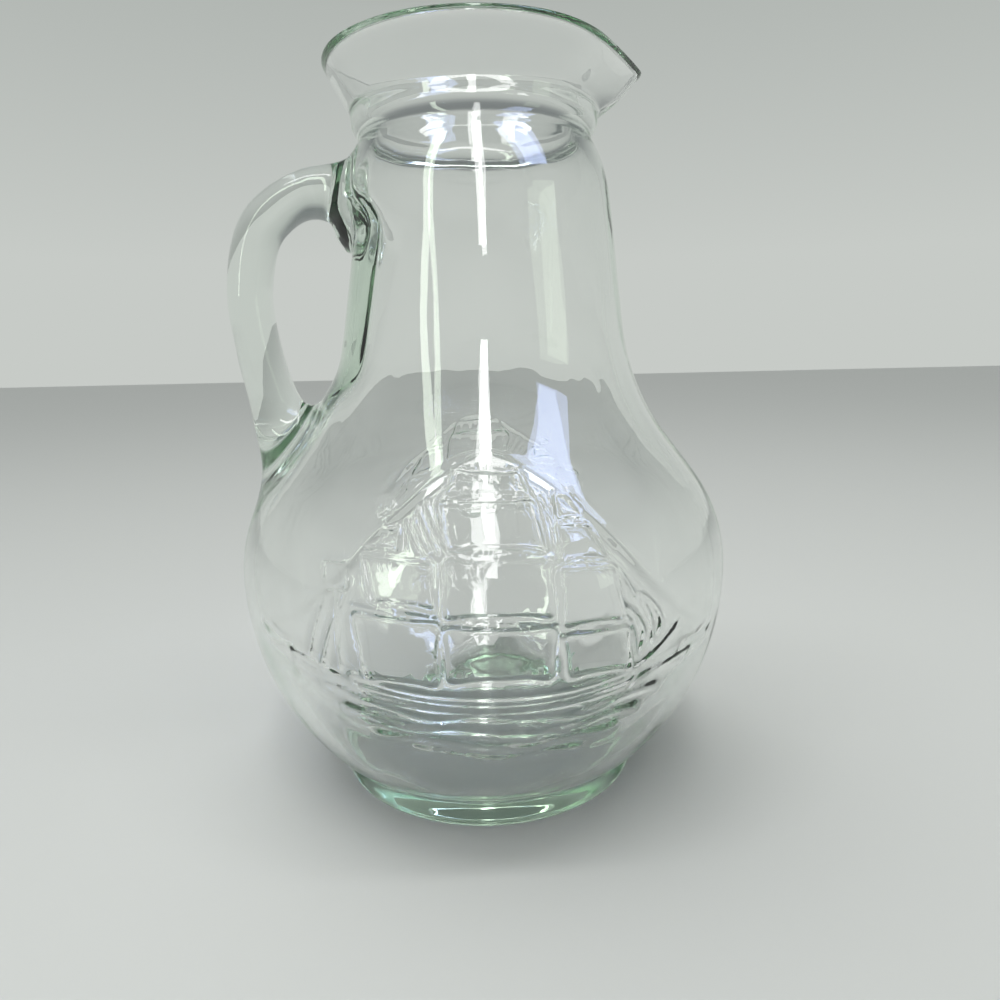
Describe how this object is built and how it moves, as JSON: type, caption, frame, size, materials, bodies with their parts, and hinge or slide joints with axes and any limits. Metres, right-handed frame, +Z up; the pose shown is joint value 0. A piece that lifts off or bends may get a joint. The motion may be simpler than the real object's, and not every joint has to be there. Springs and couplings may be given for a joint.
{
  "type": "glass pitcher",
  "caption": "Clear glass pitcher with a round bulbous body, low foot, long neck, collar, flared mouth with a pouring lip and a solid glass ear handle",
  "frame": {"origin": "centre of the ring it stands on, on the axis of the body", "axes": "+Z up, +X towards the pouring lip, -X towards the handle, -Y towards the side with the embossed panel that faces the viewer"},
  "size_m": [0.1337, 0.1334, 0.19],
  "materials": {
    "glass": "clear soda-lime glass with a faint green tint, smooth, fire polished"
  },
  "bodies": {
    "root": {"pitcher": "glass"}
  },
  "joints": []
}
